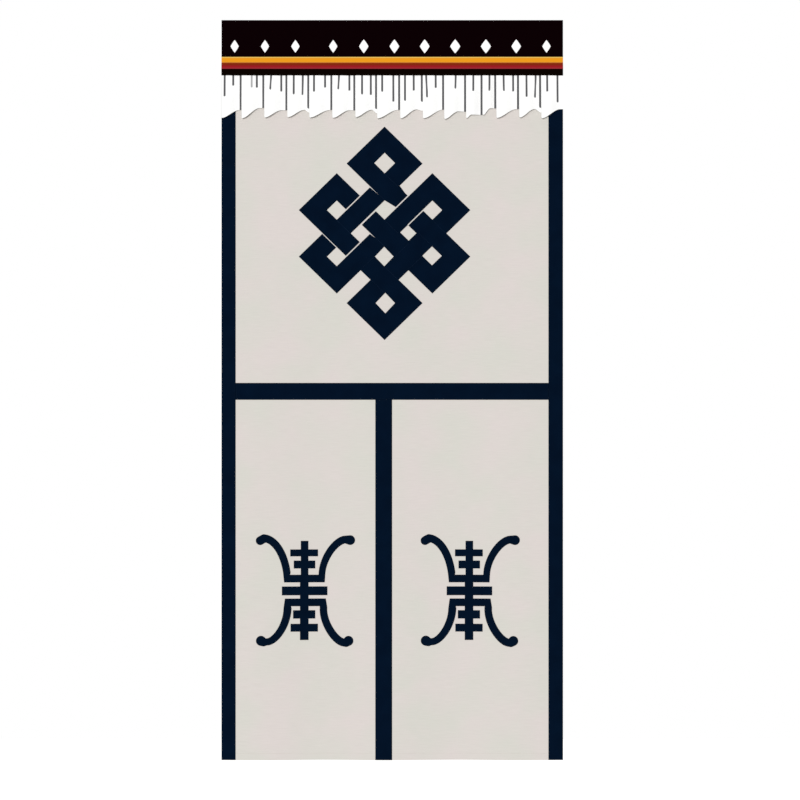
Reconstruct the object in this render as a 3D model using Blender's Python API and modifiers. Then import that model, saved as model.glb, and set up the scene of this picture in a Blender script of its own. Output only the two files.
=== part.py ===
"""Tibetan door curtain: an off-white cotton panel with navy strips and applique, a dark heading
with two ribbons and a row of diamonds, and a white knife-pleated frill.

Metres, +Z up, +X to the right as seen from the front, and the front faces -Y. The origin is the
middle of the curtain's top edge, on the cloth's back face. Each piece is cut flat, split on the
curtain's grid so that neighbours bend on the same lines, and then given its thickness and hang.
"""

import math
from collections import namedtuple

import bmesh
import bpy
from mathutils import Vector
from mathutils.geometry import delaunay_2d_cdt, interpolate_bezier

# Whole curtain
WIDTH = 0.900
LENGTH = 1.950
HEADING_HEIGHT = 0.145
GAP = 0.0003  # between neighbouring pieces

# Cloth thicknesses
PANEL_THICK = 0.0012
HEADING_THICK = 0.0012
TRIM_THICK = 0.0010
HEM_FOLD_THICK = 0.0010  # of the turned-up layer
HEM_HEIGHT = 0.020
HEM_STEP = 0.002  # height over which the turned-up layer thins out

# Grid that every piece bends on
COLUMN = 0.050
ROW = 0.095

# Navy strips
SIDE_STRIP_WIDTH = 0.0370
SIDE_STRIP_TOP = -0.133  # under the frill
CROSS_TOP = -0.9566
CROSS_HEIGHT = 0.0435
CENTRE_STRIP_WIDTH = 0.0432
CENTRE_STRIP_X = -0.0225

# Heading: its lower part lifts over the frill's upper edge
RISE_TOP = -0.1123
RISE_BOTTOM = -0.1286
RISE = 0.0054
GOLD_TOP = -0.0960
RED_BOTTOM = -0.1286
DIAMOND_Z = -0.0692
DIAMOND_ROUNDNESS = 1.2  # exponent of its outline, 1 is straight-sided
DIAMOND_POINTS = 16

# Frill: levels are the middle of each layer's thickness, at the seam and at the hem
FRILL_THICK = 0.0010
FRILL_TOP = -0.130
FRILL_SEAM = -0.146
FRONT_LEVEL = (-0.0061, -0.0170)
MIDDLE_LEVEL = (-0.0047, -0.0100)
BACK_LEVEL = (-0.0033, -0.0045)
TUCK = 0.011  # how far a pleat runs on behind the next one
PLEAT_LEAD = 0.0025  # where a pleat has reached its back level, short of the next fold
FOLD_STEPS = (45, 90, 135)  # degrees round each fold
RINGS = ((0.0, 0.0), (0.35, 0.50), (0.70, 0.85), (1.0, 1.0))  # share of the drop, share opened

# Endless knot: p and q count lattice steps along its two diagonals
KNOT_X = -0.0203
KNOT_Z = -0.5619
KNOT_STEP_X = 0.0630
KNOT_STEP_Z = 0.0613
KNOT_BAND = 0.58  # half a band's width, in lattice steps
KNOT_REACH = 4

# Long-life ornament, about the middle of its stem
LONGLIFE_LEFT_X = -0.2306
LONGLIFE_RIGHT_X = 0.2037
LONGLIFE_Z = -1.504
STEM_WIDTH = 0.020
STEM_HALF_HEIGHT = 0.130
HORN_PATH = ((0.046, 0.033), (0.046, 0.080), (0.078, 0.137), (0.110, 0.137))
HORN_POINTS = 8
HORN_WIDTHS = (0.0155, 0.0200)  # at the bar, at the tip
BALL_POINTS = 14

Ball = namedtuple("Ball", "x z radius")
HORN_BALLS = (  # the rounded tip, and the drop that hangs from it
    Ball(0.1100, 0.1365, 0.0105),
    Ball(0.1170, 0.1310, 0.0120),
)

Fold = namedtuple("Fold", "x half_width depth")
HANGING_FOLDS = (  # at the hem, minus towards the front
    Fold(-0.345, 0.125, -0.0060),
    Fold(-0.180, 0.110, 0.0048),
    Fold(-0.015, 0.115, -0.0052),
    Fold(0.165, 0.120, 0.0055),
    Fold(0.335, 0.120, -0.0050),
)

Diamond = namedtuple("Diamond", "x half_width half_height")
DIAMONDS = (
    Diamond(-0.4152, 0.0117, 0.0178),
    Diamond(-0.3354, 0.0117, 0.0178),
    Diamond(-0.2552, 0.0119, 0.0179),
    Diamond(-0.1556, 0.0119, 0.0179),
    Diamond(-0.0750, 0.0132, 0.0193),
    Diamond(0.0057, 0.0135, 0.0194),
    Diamond(0.0855, 0.0137, 0.0194),
    Diamond(0.1659, 0.0142, 0.0195),
    Diamond(0.2468, 0.0142, 0.0195),
    Diamond(0.3267, 0.0135, 0.0193),
    Diamond(0.4065, 0.0119, 0.0178),
)

Bar = namedtuple("Bar", "z width height")
LONGLIFE_BARS = (
    Bar(0.100, 0.071, 0.0165),
    Bar(0.070, 0.056, 0.0175),
    Bar(0.032, 0.105, 0.0170),
    Bar(0.000, 0.119, 0.0200),
    Bar(-0.031, 0.106, 0.0170),
    Bar(-0.062, 0.058, 0.0190),
    Bar(-0.098, 0.072, 0.0180),
)

Pleat = namedtuple("Pleat", "left low high crest end")  # crest is a share of the pleat's width
PLEATS = (
    Pleat(-0.4495, -0.2590, -0.2370, 0.90, -0.2365),
    Pleat(-0.3999, -0.2610, -0.2340, 0.80, -0.2335),
    Pleat(-0.3401, -0.2610, -0.2380, 0.75, -0.2375),
    Pleat(-0.2792, -0.2590, -0.2380, 0.78, -0.2430),
    Pleat(-0.2215, -0.2610, -0.2380, 0.90, -0.2375),
    Pleat(-0.1606, -0.2610, -0.2380, 0.75, -0.2380),
    Pleat(-0.1000, -0.2580, -0.2380, 0.80, -0.2440),
    Pleat(-0.0426, -0.2620, -0.2400, 0.90, -0.2390),
    Pleat(0.0183, -0.2600, -0.2360, 0.72, -0.2380),
    Pleat(0.0781, -0.2600, -0.2380, 0.95, -0.2380),
    Pleat(0.1343, -0.2600, -0.2400, 0.65, -0.2405),
    Pleat(0.1923, -0.2590, -0.2490, 0.30, -0.2490),
    Pleat(0.2357, -0.2500, -0.2340, 0.60, -0.2335),
    Pleat(0.2718, -0.2610, -0.2380, 0.88, -0.2375),
    Pleat(0.3319, -0.2590, -0.2370, 0.72, -0.2440),
    Pleat(0.3902, -0.2610, -0.2380, 0.88, -0.2380),
)


def clear_scene():
    for item in list(bpy.data.objects):
        bpy.data.objects.remove(item, do_unlink=True)


def make_collection(name):
    collection = bpy.data.collections.new(name)
    bpy.context.scene.collection.children.link(collection)
    return collection


def make_material(name, colour, roughness):
    material = bpy.data.materials.new(name)
    material.use_nodes = True
    shader = material.node_tree.nodes["Principled BSDF"]
    shader.inputs["Base Color"].default_value = (*colour, 1.0)
    shader.inputs["Roughness"].default_value = roughness
    shader.inputs["Metallic"].default_value = 0.0
    return material


def marks(start, stop, step):
    """Places from start to stop, a step apart, both ends among them."""
    count = round((stop - start) / step)
    return [start + i * step for i in range(count + 1)]


GRID_COLUMNS = marks(-WIDTH / 2, WIDTH / 2, COLUMN)
GRID_ROWS = marks(-HEADING_HEIGHT, -LENGTH, -ROW)


def fold_depth(x):
    """Depth of the hanging folds at the hem: each is one smooth wave."""
    depth = 0.0
    for fold in HANGING_FOLDS:
        share = (x - fold.x) / fold.half_width
        if abs(share) < 1:
            depth += fold.depth * math.cos(share * math.pi / 2) ** 2
    return depth


def swing(x, z):
    """How far back the cloth hangs: nothing behind the heading, growing evenly down to the hem."""
    column = min(max(int((x + WIDTH / 2) / COLUMN), 0), len(GRID_COLUMNS) - 2)
    left = GRID_COLUMNS[column]
    share = (x - left) / COLUMN
    depth = (1 - share) * fold_depth(left) + share * fold_depth(left + COLUMN)
    return depth * max(0.0, -z - HEADING_HEIGHT) / (LENGTH - HEADING_HEIGHT)


def panel_back(x, z):
    """The panel's back face, with the hem's turned-up layer at the bottom."""
    above_hem = (z - (HEM_HEIGHT - LENGTH)) / HEM_STEP
    return swing(x, z) + HEM_FOLD_THICK * min(max(1 - above_hem, 0.0), 1.0)


def panel_front(x, z):
    return swing(x, z) - PANEL_THICK


def trim_back(x, z):
    return panel_front(x, z) - GAP


def trim_front(x, z):
    return trim_back(x, z) - TRIM_THICK


def heading_back(x, z):
    """Flat on the panel, then lifted forward over the frill."""
    share = (RISE_TOP - z) / (RISE_TOP - RISE_BOTTOM)
    return -PANEL_THICK - GAP - RISE * min(max(share, 0.0), 1.0)


def heading_front(x, z):
    return heading_back(x, z) - HEADING_THICK


def ribbon_back(x, z):
    return heading_front(x, z) - GAP


def ribbon_front(x, z):
    return ribbon_back(x, z) - TRIM_THICK


def rectangle(left, right, bottom, top):
    return [(left, bottom), (right, bottom), (right, top), (left, top)]


def counterclockwise(outline):
    """The outline, turned round if it runs clockwise."""
    pairs = zip(outline, outline[1:] + outline[:1])
    area = sum(a[0] * b[1] - b[0] * a[1] for a, b in pairs)
    return outline if area > 0 else outline[::-1]


def split_lines(outlines, columns, rows):
    """End points of the grid lines that cross the outlines."""
    across = [point[0] for outline in outlines for point in outline]
    down = [point[1] for outline in outlines for point in outline]
    margin = COLUMN / 5
    low_x, high_x = min(across) - margin, max(across) + margin
    low_z, high_z = min(down) - margin, max(down) + margin
    lines = [((x, low_z), (x, high_z)) for x in columns if low_x < x < high_x]
    lines += [((low_x, z), (high_x, z)) for z in rows if low_z < z < high_z]
    return lines


def cut_cloth(name, outlines, back, front, columns, rows, material, collection):
    """One piece of cloth: the outlines' union, split on the grid, between a back and a front face."""
    corners, edges, faces = [], [], []
    for outline in outlines:
        faces.append(list(range(len(corners), len(corners) + len(outline))))
        corners += [Vector(point) for point in counterclockwise(outline)]
    for start, end in split_lines(outlines, columns, rows):
        edges.append((len(corners), len(corners) + 1))
        corners += [Vector(start), Vector(end)]
    points, _, triangles, _, _, inside = delaunay_2d_cdt(corners, edges, faces, 0, 1e-6)
    cloth = bmesh.new()
    verts = [cloth.verts.new((point.x, 0.0, point.y)) for point in points]
    for triangle, owners in zip(triangles, inside):
        if owners:
            cloth.faces.new([verts[i] for i in triangle])
    loose = [vert for vert in cloth.verts if not vert.link_faces]
    bmesh.ops.delete(cloth, geom=loose, context="VERTS")
    flat = cloth.verts[:]
    grown = bmesh.ops.extrude_face_region(cloth, geom=cloth.faces[:])["geom"]
    for vert in flat:
        vert.co.y = back(vert.co.x, vert.co.z)
    for vert in grown:
        if isinstance(vert, bmesh.types.BMVert):
            vert.co.y = front(vert.co.x, vert.co.z)
    bmesh.ops.recalc_face_normals(cloth, faces=cloth.faces[:])
    return finish_piece(name, cloth, material, collection)


def finish_piece(name, shape, material, collection):
    mesh = bpy.data.meshes.new(name)
    shape.to_mesh(mesh)
    shape.free()
    mesh.materials.append(material)
    piece = bpy.data.objects.new(name, mesh)
    collection.objects.link(piece)
    return piece


def make_panel(material, collection):
    rows = GRID_ROWS + [HEM_HEIGHT - LENGTH, HEM_HEIGHT + HEM_STEP - LENGTH]
    outline = rectangle(-WIDTH / 2, WIDTH / 2, -LENGTH, 0.0)
    cut_cloth("panel", [outline], panel_back, panel_front, GRID_COLUMNS, rows, material, collection)


def make_strips(material, collection):
    inner = WIDTH / 2 - SIDE_STRIP_WIDTH
    cross_bottom = CROSS_TOP - CROSS_HEIGHT
    centre_left = CENTRE_STRIP_X - CENTRE_STRIP_WIDTH / 2
    centre_right = CENTRE_STRIP_X + CENTRE_STRIP_WIDTH / 2
    outlines = {
        "strip_left": rectangle(-WIDTH / 2, -inner, -LENGTH, SIDE_STRIP_TOP),
        "strip_right": rectangle(inner, WIDTH / 2, -LENGTH, SIDE_STRIP_TOP),
        "strip_cross": rectangle(GAP - inner, inner - GAP, cross_bottom, CROSS_TOP),
        "strip_centre": rectangle(centre_left, centre_right, -LENGTH, cross_bottom - GAP),
    }
    for name, outline in outlines.items():
        cut_cloth(
            name, [outline], trim_back, trim_front, GRID_COLUMNS, GRID_ROWS, material, collection
        )


def knot_band(start, end):
    """A band of the knot from one lattice place to another, as its four corners."""
    low_p, high_p = min(start[0], end[0]) - KNOT_BAND, max(start[0], end[0]) + KNOT_BAND
    low_q, high_q = min(start[1], end[1]) - KNOT_BAND, max(start[1], end[1]) + KNOT_BAND
    corners = rectangle(low_p, high_p, low_q, high_q)
    return [
        (KNOT_X + KNOT_STEP_X * (p - q) / 2, KNOT_Z - KNOT_STEP_Z * (p + q) / 2)
        for p, q in corners
    ]


def make_knot(material, collection):
    """Three bands each way, joined in pairs round the rim so that they make one endless path."""
    bands = []
    for place in (-2, 0, 2):
        bands.append(knot_band((place, -KNOT_REACH), (place, KNOT_REACH)))
        bands.append(knot_band((-KNOT_REACH, place), (KNOT_REACH, place)))
    for rim, starts in ((-KNOT_REACH, (-4, 0)), (KNOT_REACH, (-2, 2))):
        for start in starts:
            bands.append(knot_band((rim, start), (rim, start + 2)))
            bands.append(knot_band((start, rim), (start + 2, rim)))
    cut_cloth("knot", bands, trim_back, trim_front, GRID_COLUMNS, GRID_ROWS, material, collection)


def ribbon_of(path, widths):
    """Outline of a band along a path, its width going evenly from the first to the last."""
    left, right = [], []
    for i, point in enumerate(path):
        before, after = path[max(i - 1, 0)], path[min(i + 1, len(path) - 1)]
        along = (after - before).normalized()
        width = widths[0] + (widths[1] - widths[0]) * i / (len(path) - 1)
        aside = Vector((-along.y, along.x)) * width / 2
        left.append(point + aside)
        right.append(point - aside)
    return left + right[::-1]


def longlife_outlines():
    """The ornament's shapes about its own middle: stem, cross bars, and four horns with ball ends."""
    shapes = [rectangle(-STEM_WIDTH / 2, STEM_WIDTH / 2, -STEM_HALF_HEIGHT, STEM_HALF_HEIGHT)]
    for bar in LONGLIFE_BARS:
        shapes.append(
            rectangle(
                -bar.width / 2, bar.width / 2, bar.z - bar.height / 2, bar.z + bar.height / 2
            )
        )
    bends = [Vector((x, z)) for x, z in HORN_PATH]
    path = interpolate_bezier(*[bend.to_3d() for bend in bends], HORN_POINTS)
    horn = ribbon_of([point.to_2d() for point in path], HORN_WIDTHS)
    turns = [2 * math.pi * i / BALL_POINTS for i in range(BALL_POINTS)]
    rounds = [
        [(ball.x + ball.radius * math.cos(a), ball.z + ball.radius * math.sin(a)) for a in turns]
        for ball in HORN_BALLS
    ]
    for across in (1, -1):
        for up in (1, -1):
            for shape in [horn] + rounds:
                shapes.append([(across * x, up * z) for x, z in shape])
    return shapes


def make_longlife(name, x, material, collection):
    shapes = [
        [(x + point[0], LONGLIFE_Z + point[1]) for point in shape]
        for shape in longlife_outlines()
    ]
    cut_cloth(name, shapes, trim_back, trim_front, GRID_COLUMNS, GRID_ROWS, material, collection)


def make_heading(material, collection):
    outline = rectangle(-WIDTH / 2, WIDTH / 2, -HEADING_HEIGHT, 0.0)
    rows = [RISE_TOP, RISE_BOTTOM]
    cut_cloth("heading", [outline], heading_back, heading_front, [], rows, material, collection)


def make_ribbons(gold, red, collection):
    gold_outline = rectangle(-WIDTH / 2, WIDTH / 2, RISE_TOP + GAP, GOLD_TOP)
    red_outline = rectangle(-WIDTH / 2, WIDTH / 2, RED_BOTTOM, RISE_TOP)
    cut_cloth("ribbon_gold", [gold_outline], ribbon_back, ribbon_front, [], [], gold, collection)
    cut_cloth("ribbon_red", [red_outline], ribbon_back, ribbon_front, [], [], red, collection)


def diamond_outline(diamond):
    """A diamond with softened sides and corners."""
    outline = []
    for i in range(DIAMOND_POINTS):
        turn = 2 * math.pi * i / DIAMOND_POINTS
        across = math.copysign(abs(math.cos(turn)) ** (2 / DIAMOND_ROUNDNESS), math.cos(turn))
        up = math.copysign(abs(math.sin(turn)) ** (2 / DIAMOND_ROUNDNESS), math.sin(turn))
        outline.append(
            (diamond.x + diamond.half_width * across, DIAMOND_Z + diamond.half_height * up)
        )
    return outline


def make_diamonds(material, collection):
    for number, diamond in enumerate(DIAMONDS, start=1):
        cut_cloth(
            f"diamond_{number:02d}", [diamond_outline(diamond)], ribbon_back, ribbon_front,
            [], [], material, collection
        )


def smooth(share):
    share = min(max(share, 0.0), 1.0)
    return share * share * (3 - 2 * share)


def hem_height(pleat, share):
    """The hem of a pleat: low at its fold, up in an S to its crest, then to its end height."""
    if share < pleat.crest:
        return pleat.low + (pleat.high - pleat.low) * smooth(share / pleat.crest)
    fall = smooth((share - pleat.crest) / (1 - pleat.crest))
    return pleat.high + (pleat.end - pleat.high) * fall


def bend(x, reach, start, end):
    """Points round a fold between two levels, bulging by reach from x."""
    middle, half = (start + end) / 2, (start - end) / 2
    return [
        (x + reach * math.sin(math.radians(a)), middle + half * math.cos(math.radians(a)))
        for a in FOLD_STEPS
    ]


def frill_section(opened):
    """The frill's whole section from left to right, as (x, y, hem height)."""
    front, middle, back = (
        level[0] + opened * (level[1] - level[0]) for level in (FRONT_LEVEL, MIDDLE_LEVEL, BACK_LEVEL)
    )
    outer, inner = 0.8 * (middle - front) / 2, 0.8 * (back - middle) / 2
    section = []
    tucked = PLEATS[0].low
    for i, pleat in enumerate(PLEATS):
        left = pleat.left
        last = i == len(PLEATS) - 1
        right = WIDTH / 2 if last else PLEATS[i + 1].left
        section.append((left + TUCK - inner, middle, tucked))
        section.append((left + outer, middle, pleat.low))
        for x, y in bend(left + outer, -outer, middle, front):
            section.append((x, y, pleat.low))
        section.append((left + outer, front, pleat.low))
        start, stop = left + TUCK + PLEAT_LEAD, right - PLEAT_LEAD
        for share in (0.0, 0.35, 0.70, 1.0):
            x = start + share * (stop - start)
            y = front + (back - front) * smooth(share)
            section.append((x, y, hem_height(pleat, (x - left) / (right - left))))
        if last:
            section.append((right, back, pleat.end))
            break
        section.append((right + TUCK - inner, back, pleat.end))
        for x, y in bend(right + TUCK - inner, inner, back, middle):
            section.append((x, y, pleat.end))
        tucked = pleat.end
    return section


def make_frill(material, collection):
    """Knife pleats: pressed flat in three layers at the seam, fanned open at the hem."""
    rings = [[(x, y, FRILL_TOP) for x, y, _ in frill_section(0.0)]]
    for drop, opened in RINGS:
        rings.append(
            [(x, y, FRILL_SEAM + drop * (hem - FRILL_SEAM)) for x, y, hem in frill_section(opened)]
        )
    cloth = bmesh.new()
    grid = [[cloth.verts.new((x, y + swing(x, z), z)) for x, y, z in ring] for ring in rings]
    for upper, lower in zip(grid, grid[1:]):
        for i in range(len(upper) - 1):
            cloth.faces.new([upper[i], upper[i + 1], lower[i + 1], lower[i]])
    bmesh.ops.recalc_face_normals(cloth, faces=cloth.faces[:])
    frill = finish_piece("frill", cloth, material, collection)
    thickness = frill.modifiers.new("Thickness", "SOLIDIFY")
    thickness.thickness = FRILL_THICK
    thickness.offset = 0.0
    thickness.use_even_offset = True


def make_curtain():
    clear_scene()
    curtain = make_collection("Door curtain")
    canvas = make_material("Off-white cotton canvas", (0.72, 0.68, 0.63), 0.95)
    navy = make_material("Navy cotton", (0.004, 0.012, 0.026), 0.85)
    black = make_material("Near-black cotton", (0.006, 0.003, 0.004), 0.85)
    gold = make_material("Gold ribbon", (0.83, 0.33, 0.02), 0.55)
    red = make_material("Red ribbon", (0.27, 0.02, 0.02), 0.60)
    white = make_material("White cotton", (0.90, 0.90, 0.89), 0.90)
    make_panel(canvas, curtain)
    make_strips(navy, curtain)
    make_knot(navy, curtain)
    make_longlife("longlife_left", LONGLIFE_LEFT_X, navy, curtain)
    make_longlife("longlife_right", LONGLIFE_RIGHT_X, navy, curtain)
    make_heading(black, curtain)
    make_ribbons(gold, red, curtain)
    make_diamonds(white, curtain)
    make_frill(white, curtain)


make_curtain()
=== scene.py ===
import math

import bpy
import numpy as np
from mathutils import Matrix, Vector
from mathutils.geometry import convex_hull_2d, delaunay_2d_cdt, interpolate_bezier


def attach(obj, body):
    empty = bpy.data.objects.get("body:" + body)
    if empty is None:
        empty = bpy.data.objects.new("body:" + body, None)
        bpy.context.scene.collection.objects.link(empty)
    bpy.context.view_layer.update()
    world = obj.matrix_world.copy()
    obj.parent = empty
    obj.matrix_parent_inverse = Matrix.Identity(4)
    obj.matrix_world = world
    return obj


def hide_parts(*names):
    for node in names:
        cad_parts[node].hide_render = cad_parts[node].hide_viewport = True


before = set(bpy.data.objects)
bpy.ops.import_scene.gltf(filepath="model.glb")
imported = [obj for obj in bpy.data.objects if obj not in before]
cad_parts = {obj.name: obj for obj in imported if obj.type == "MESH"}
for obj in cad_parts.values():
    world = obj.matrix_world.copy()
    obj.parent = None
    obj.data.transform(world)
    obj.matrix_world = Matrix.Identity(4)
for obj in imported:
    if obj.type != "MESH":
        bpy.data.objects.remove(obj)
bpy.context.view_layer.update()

# Sizes are in millimetres until a mesh is written. x runs to the right, z up, and the front faces -y.
mm = 0.001

curtain = {
    "width": 900.0,
    "length": 1950.0,
    "headingHeight": 145.0,  # as in the solids; the hanging folds start below it
    "panelThick": 1.2,
    "headingThick": 1.2,
    "trimThick": 1.0,
    "gap": 0.3,  # between layers, so that no two faces meet
}

# hanging folds: place, half width, and depth at the hem, minus towards the front
hangingFolds = [(-345, 125, -6.0), (-180, 110, 4.8), (-15, 115, -5.2), (165, 120, 5.5), (335, 120, -5.0)]
foldParts = ("Place", "Half Width", "Depth")
ripple = {"height": 0.45, "size": 190}  # the faint unevenness of hung canvas


# Small helpers

def addNode(tree, kind, inputs=None, **settings):
    # adds a node with its settings, and sets or links its inputs: a node links by its first output
    node = tree.nodes.new(kind)
    for name, value in settings.items():
        setattr(node, name, value)
    for socket, value in (inputs or {}).items():
        if isinstance(value, bpy.types.Node):
            value = value.outputs[0]
        if isinstance(value, bpy.types.NodeSocket):
            tree.links.new(value, node.inputs[socket])
        else:
            node.inputs[socket].default_value = value
    return node.outputs[0] if len(node.outputs) == 1 else node


def colour(code):
    # sRGB hex to Blender's linear values
    parts = [int(code[i : i + 2], 16) / 255 for i in (1, 3, 5)]
    return [c / 12.92 if c <= 0.04045 else ((c + 0.055) / 1.055) ** 2.4 for c in parts] + [1.0]


def smooth(share):
    share = np.clip(share, 0.0, 1.0)
    return share * share * (3 - 2 * share)


def newTree(name, inputs):
    # an empty geometry tree with named inputs: label, socket kind
    tree = bpy.data.node_groups.new(name, "GeometryNodeTree")
    tree.is_modifier = True
    tree.interface.new_socket("Geometry", in_out="OUTPUT", socket_type="NodeSocketGeometry")
    tree.interface.new_socket("Geometry", in_out="INPUT", socket_type="NodeSocketGeometry")
    for label, kind in inputs.items():
        tree.interface.new_socket(label, in_out="INPUT", socket_type="NodeSocket" + kind)
    return tree, tree.nodes.new("NodeGroupInput").outputs


def closeTree(tree, geometry, material):
    whole = addNode(tree, "GeometryNodeRealizeInstances", {"Geometry": geometry})
    dressed = addNode(tree, "GeometryNodeSetMaterial", {"Geometry": whole, "Material": material})
    addNode(tree, "NodeGroupOutput", {"Geometry": dressed})


def settle(piece, tree, values):
    # runs the tree on the piece and keeps what it makes as the piece's own plain mesh
    modifier = piece.modifiers.new(tree.name, "NODES")
    modifier.node_group = tree
    for item in tree.interface.items_tree:
        if item.in_out == "INPUT" and item.name in values:
            modifier[item.identifier] = values[item.name]
    graph = bpy.context.evaluated_depsgraph_get()
    made = bpy.data.meshes.new_from_object(
        piece.evaluated_get(graph), preserve_all_data_layers=True, depsgraph=graph
    )
    old = piece.data
    piece.modifiers.remove(modifier)
    piece.data = made
    bpy.data.meshes.remove(old)
    made.name = piece.name
    return piece


def makePiece(name, points, faces, edges=()):
    mesh = bpy.data.meshes.new(name)
    mesh.from_pydata((np.asarray(points) * mm).tolist(), list(edges), faces)
    piece = bpy.data.objects.new(name, mesh)
    bpy.context.scene.collection.objects.link(piece)
    return piece


# The rule that every piece hangs by

def buildHangTree():
    numbers = range(1, len(hangingFolds) + 1)
    labels = [f"Fold {number} {part}" for number in numbers for part in foldParts]
    labels += ["Start", "Length", "Ripple Height", "Ripple Size"]
    tree, given = newTree("hangingCloth", {**dict.fromkeys(labels, "Float"), "Material": "Material"})

    position = addNode(tree, "GeometryNodeInputPosition")
    split = addNode(tree, "ShaderNodeSeparateXYZ", {"Vector": position})
    depth = 0.0
    for number in numbers:
        wave = split.outputs["X"]
        for operation, other in (
            ("SUBTRACT", given[f"Fold {number} Place"]),
            ("DIVIDE", given[f"Fold {number} Half Width"]),
            ("ABSOLUTE", 0.0),
            ("MINIMUM", 1.0),
            ("MULTIPLY", math.pi / 2),
            ("COSINE", 0.0),
            ("POWER", 2.0),
            ("MULTIPLY", given[f"Fold {number} Depth"]),
            ("ADD", depth),
        ):
            wave = addNode(tree, "ShaderNodeMath", {0: wave, 1: other}, operation=operation)
        depth = wave
    span = addNode(tree, "ShaderNodeMath", {0: given["Length"], 1: given["Start"]}, operation="SUBTRACT")
    growth = split.outputs["Z"]
    for operation, other in (
        ("MULTIPLY", -1.0), ("SUBTRACT", given["Start"]), ("DIVIDE", span), ("MAXIMUM", 0.0)
    ):
        growth = addNode(tree, "ShaderNodeMath", {0: growth, 1: other}, operation=operation)
    folded = addNode(tree, "ShaderNodeMath", {0: depth, 1: growth}, operation="MULTIPLY")
    flat = addNode(tree, "ShaderNodeCombineXYZ", {"X": split.outputs["X"], "Z": split.outputs["Z"]})
    fineness = addNode(tree, "ShaderNodeMath", {0: 1.0, 1: given["Ripple Size"]}, operation="DIVIDE")
    noise = addNode(tree, "ShaderNodeTexNoise", {"Vector": flat, "Scale": fineness, "Detail": 1.0})
    # the ripple fades in over the first fifth below the heading
    fadeIn = growth
    for operation, other in (("MULTIPLY", 5.0), ("MINIMUM", 1.0)):
        fadeIn = addNode(tree, "ShaderNodeMath", {0: fadeIn, 1: other}, operation=operation)
    away = noise.outputs["Fac"]
    for operation, other in (
        ("SUBTRACT", 0.5),
        ("MULTIPLY", 4.0),
        ("MULTIPLY", given["Ripple Height"]),
        ("MULTIPLY", fadeIn),
        ("ADD", folded),
    ):
        away = addNode(tree, "ShaderNodeMath", {0: away, 1: other}, operation=operation)
    offset = addNode(tree, "ShaderNodeCombineXYZ", {"Y": away})
    moved = addNode(tree, "GeometryNodeSetPosition", {"Geometry": given["Geometry"], "Offset": offset})
    closeTree(tree, moved, given["Material"])
    return tree


hangTree = buildHangTree()
hangValues = {
    "Start": curtain["headingHeight"] * mm,
    "Length": curtain["length"] * mm,
    "Ripple Height": ripple["height"] * mm,
    "Ripple Size": ripple["size"] * mm,
}
for number, fold in enumerate(hangingFolds, start=1):
    for part, value in zip(foldParts, fold):
        hangValues[f"Fold {number} {part}"] = value * mm


def hang(piece, material, sharpAngle=50):
    settle(piece, hangTree, {**hangValues, "Material": material})
    piece.data.shade_smooth()
    piece.data.set_sharp_from_angle(angle=math.radians(sharpAngle))
    return piece


# Materials

def startMaterial(name, **values):
    # values that are the same all over go straight onto the shader's own sockets
    material = bpy.data.materials.new(name)
    material.use_nodes = True
    tree = material.node_tree
    shader = tree.nodes["Principled BSDF"]
    for label, value in values.items():
        shader.inputs[label.replace("_", " ")].default_value = value
    return material, tree, shader


def threadWave(tree, across, spacing):
    # a wave over and under threads this far apart (mm), so that it crests at every second one
    angle = addNode(
        tree, "ShaderNodeMath", {0: across, 1: math.pi / (spacing * mm)}, operation="MULTIPLY"
    )
    return addNode(tree, "ShaderNodeMath", {0: angle}, operation="SINE")


def placeOf(tree):
    return addNode(tree, "ShaderNodeTexCoord").outputs["Object"]


def patches(tree, place, sizes, detail=1.0):
    # a soft uneven pattern whose patches have these sizes in mm
    scale = [1 / (size * mm) for size in sizes]
    sized = addNode(tree, "ShaderNodeMapping", {"Vector": place, "Scale": scale})
    noise = addNode(tree, "ShaderNodeTexNoise", {"Vector": sized, "Scale": 1.0, "Detail": detail})
    return noise.outputs["Fac"]


def wovenHeight(tree, place, spacing, weave="plain"):
    # height of plain weave, one thread over and one under, of upright ribs this far apart, or of
    # twill, whose slanting ribs take two threads each
    split = addNode(tree, "ShaderNodeSeparateXYZ", {"Vector": place})
    across, up = split.outputs["X"], split.outputs["Z"]
    if weave == "ribs":
        return threadWave(tree, across, spacing / 2)
    if weave == "twill":
        slant = addNode(tree, "ShaderNodeMath", {0: across, 1: up}, operation="ADD")
        return threadWave(tree, slant, spacing)
    pair = {0: threadWave(tree, across, spacing), 1: threadWave(tree, up, spacing)}
    return addNode(tree, "ShaderNodeMath", pair, operation="MULTIPLY")


def blotches(tree, place, size, first, second, contrast=0.5):
    # two close colours in soft patches of this size in mm
    share = patches(tree, place, (size, size, size), 2.0)
    ramp = addNode(tree, "ShaderNodeValToRGB", {"Fac": share})
    ramp.color_ramp.elements[0].position = 0.5 - contrast / 2
    ramp.color_ramp.elements[1].position = 0.5 + contrast / 2
    ramp.color_ramp.elements[0].color = colour(first)
    ramp.color_ramp.elements[1].color = colour(second)
    return ramp.outputs["Color"]


def roughen(tree, shader, *layers):
    # layers of relief from the finest to the broadest: a height and how deep one of it is in mm
    below = {}
    for height, depth in layers:
        relief = addNode(tree, "ShaderNodeBump", {"Height": height, "Distance": depth * mm, **below})
        below = {"Normal": relief}
    tree.links.new(relief, shader.inputs["Normal"])


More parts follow.
